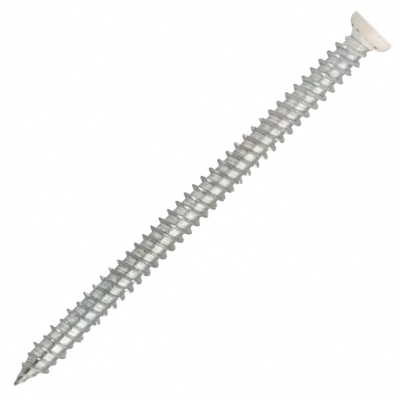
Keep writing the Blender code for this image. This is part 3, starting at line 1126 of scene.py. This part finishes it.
@dataclass
class StudioDome:
    """The studio's walls, which only reflections see: bright in front, grey on one side, dim on the other.

    Each tuple pairs an angle, in degrees from the camera towards +X, with a brightness.
    """

    reach: float = 0.60
    centre: float = 56.0 * MM
    rings: int = 32
    steps: int = 64
    level: Pairs = (
        (-180.0, 0.42), (-120.0, 0.40), (-93.0, 0.42), (-70.0, 1.0), (-8.0, 1.0), (-4.0, 0.51), (16.0, 0.53),
        (30.0, 0.66), (45.0, 0.71), (60.0, 0.69), (76.0, 0.62), (100.0, 0.51), (130.0, 0.45), (180.0, 0.42),
    )
    steep: Pairs = (
        (-180.0, 0.56), (-160.0, 0.55), (-130.0, 0.52), (-97.0, 0.47), (-70.0, 0.86), (-5.0, 0.86),
        (3.0, 0.26), (22.0, 0.30), (36.0, 0.44), (70.0, 0.50), (120.0, 0.52), (140.0, 0.41), (170.0, 0.38),
        (180.0, 0.60),
    )
    slit: Pairs = ((-9.0, 0.0), (-4.0, 1.0), (14.0, 1.0), (21.0, 0.0))
    white: Colour = (1.0, 1.0, 1.0)
    low: Colour = (0.72, 0.72, 0.72)
    behind: Colour = (0.82, 0.82, 0.82)
    dark: Colour = (0.02, 0.02, 0.02)

    def round_the_screw(self, graph: Graph, around: Value, pairs: Pairs) -> Socket:
        """The grey that pairs of an angle and a brightness give, at a share of the whole circle."""
        stops = [(degrees / 360.0 + 0.5, (level, level, level)) for degrees, level in pairs]
        return graph.along(around, stops)

    def shown(self, graph: Graph) -> Socket:
        """What the dome shows: its greys by angle and height, a dark slit, and whiter parts low down.

        Args:
            graph: The material's nodes.

        Returns:
            The colour.
        """
        _, x, y, z = graph.place()
        around = graph.maths("ARCTAN2", x, y * -1.0) / TURN + 0.5
        from_front = around - 0.5
        climb = (z - self.centre) / self.reach
        level, steep, slit = (
            self.round_the_screw(graph, around, pairs) for pairs in (self.level, self.steep, self.slit)
        )
        shown = graph.blend(abs(climb).ramp(0.35, 0.58), level, steep)
        shown = graph.tint(climb.ramp(0.05, -0.6), shown, self.low)
        back = from_front.ramp(0.33, 0.39).larger(from_front.ramp(-0.25, -0.31))
        shown = graph.tint(back * climb.ramp(-0.10, -0.035), shown, self.behind)
        shown = graph.blend(graph.value(slit) * climb.ramp(0.11, 0.165) * 0.95, shown, self.dark)
        shown = graph.blend(climb.ramp(0.075, 0.0) * 0.12, shown, self.white)
        low_behind = abs(from_front).ramp(0.38, 0.44) * climb.ramp(-0.11, -0.14) * climb.ramp(-0.27, -0.22)
        return graph.blend(low_behind, shown, self.white)

    def build(self) -> None:
        """Makes the dome: a sphere whose rings are circles of sin(t) at heights of cos(t)."""
        t = np.linspace(0.0, math.pi, self.rings + 2)[1:-1]
        rings = turned(self.reach * np.sin(t), self.centre + self.reach * np.cos(t), self.steps)
        mesh = closed_rings("studio_dome", rings, self.centre + self.reach, self.centre - self.reach)
        material, graph = new_material("studio_dome")
        graph.surface(graph.node("ShaderNodeEmission", None, {"Color": self.shown(graph), "Strength": 1.0}))
        material.cycles.emission_sampling = "NONE"
        mesh.materials.append(material)
        dome = put("studio_dome", mesh)
        dome.visible_camera = False
        dome.visible_diffuse = False
        dome.visible_shadow = False
        dome.visible_transmission = False


@dataclass
class Studio:
    """The floor, the backdrop, the lights and the camera."""

    floor_rings: tuple[float, ...] = (5.62 * MM, 12.0 * MM, 40.0 * MM, 150.0 * MM, 1200.0 * MM)
    floor_steps: int = 96
    floor_grey: Colour = (0.86, 0.86, 0.86)
    ambient: float = 0.80
    ambient_colour: Colour = (1.0, 0.995, 0.985)
    softbox_side: float = 0.45
    softboxes: tuple[tuple[str, Place, float], ...] = (
        ("left_softbox", (-0.45, -0.45, 0.25), 1.2),
        ("right_softbox", (0.5, -0.4, 0.2), 0.4),
    )
    lens: float = 294.0
    sensor: float = 36.0
    elevation: float = -4.3
    axis_elevation: float = -3.16
    roll: float = 134.735
    aim: Place = (0.165 * MM, 0.0, 53.83 * MM)
    view_width: float = 88.15 * MM

    def floor(self) -> None:
        """A pale disc round the head's foot. It shows from above only, and is open under the face."""
        reach = np.array(self.floor_rings)
        rings = turned(reach, np.zeros_like(reach), self.floor_steps)
        faces = ring_faces(len(reach), self.floor_steps)[:, ::-1]
        mesh = mesh_from("floor", rings.reshape(-1, 3), faces)
        material, graph = new_material("pale_floor")
        pale = graph.node("ShaderNodeBsdfDiffuse", None, {"Color": (*self.floor_grey, 1.0)})
        clear = graph.node("ShaderNodeBsdfTransparent")
        under = graph.node("ShaderNodeNewGeometry").outputs["Backfacing"]
        shown = graph.node("ShaderNodeMixShader", None, {0: under, 1: pale.outputs[0], 2: clear.outputs[0]})
        graph.surface(shown)
        mesh.materials.append(material)
        floor = put("floor", mesh)
        floor.visible_glossy = False

    def world(self) -> None:
        """White behind everything, for the camera and for reflections, and a plain grey light elsewhere."""
        world = bpy.data.worlds.new("studio")
        bpy.context.scene.world = world
        world.use_nodes = True
        graph = Graph(world.node_tree)
        path = graph.node("ShaderNodeLightPath")
        seen = graph.value(path.outputs[Ray.CAMERA.value])
        for ray in (Ray.GLOSSY, Ray.TRANSMISSION):
            seen = seen.larger(graph.value(path.outputs[ray.value]))
        white = graph.node("ShaderNodeBackground", None, {"Color": (1.0, 1.0, 1.0, 1.0), "Strength": 1.0})
        inputs = {"Color": (*self.ambient_colour, 1.0), "Strength": self.ambient}
        grey = graph.node("ShaderNodeBackground", None, inputs)
        shown = graph.node("ShaderNodeMixShader", None, {0: seen, 1: grey.outputs[0], 2: white.outputs[0]})
        graph.surface(shown, "ShaderNodeOutputWorld")

    def softbox(self, name: str, place: Vector, watts: float) -> None:
        """A square soft light that points at the middle of the screw.

        Args:
            name: Its name.
            place: Where it hangs.
            watts: Its power.
        """
        light = bpy.data.lights.new(name, "AREA")
        light.energy = watts
        light.size = self.softbox_side
        lamp = put(name, light)
        lamp.location = place
        lamp.rotation_euler = (Vector(self.aim) - place).to_track_quat("-Z", "Y").to_euler()
        lamp.visible_glossy = False
        lamp.visible_camera = False

    def camera(self) -> bpy.types.Object:
        """A long lens a little below the aim, rolled so that the point is at the lower left.

        Its axis tilts less than the line of sight to the aim, and the lens is shifted to keep the aim in the
        middle of the picture.

        Returns:
            The camera.
        """
        data = bpy.data.cameras.new("camera")
        data.lens = self.lens
        data.sensor_width = self.sensor
        camera = put("camera", data)
        tilt, axis_tilt = math.radians(self.elevation), math.radians(self.axis_elevation)
        back = Vector((0.0, -math.cos(tilt), math.sin(tilt)))
        axis = Vector((0.0, math.cos(axis_tilt), -math.sin(axis_tilt)))
        distance = self.view_width * self.lens / self.sensor
        roll = Matrix.Rotation(-math.radians(self.roll), 3, "Z")
        rolled = axis.to_track_quat("-Z", "Y").to_matrix() @ roll
        camera.matrix_world = Matrix.Translation(Vector(self.aim) + back * distance) @ rolled.to_4x4()
        aim = rolled.transposed() @ (back * -1.0)
        data.shift_x = aim.x / -aim.z * self.lens / self.sensor
        data.shift_y = aim.y / -aim.z * self.lens / self.sensor
        data.clip_start = 0.01
        data.clip_end = 10.0
        bpy.context.scene.camera = camera
        return camera

    def build(self) -> None:
        """Makes the whole studio."""
        self.floor()
        self.world()
        StudioDome().build()
        for name, place, watts in self.softboxes:
            self.softbox(name, Vector(place), watts)


def main() -> None:
    """Builds the screw and the studio, and notes the sizes."""
    logging.basicConfig(level=logging.INFO, format="%(name)s: %(message)s")
    bpy.context.scene.view_settings.view_transform = "Standard"
    for maker in (ThreadedShank(), CoatedHead()):
        piece = maker.build()
        piece.data.calc_loop_triangles()
        LOG.info("%s: %d triangles", piece.name, len(piece.data.loop_triangles))
    studio = Studio()
    studio.build()
    camera = studio.camera()
    LOG.info("camera at %s", tuple(round(value, 4) for value in camera.matrix_world.translation))


if __name__ == "__main__":
    main()
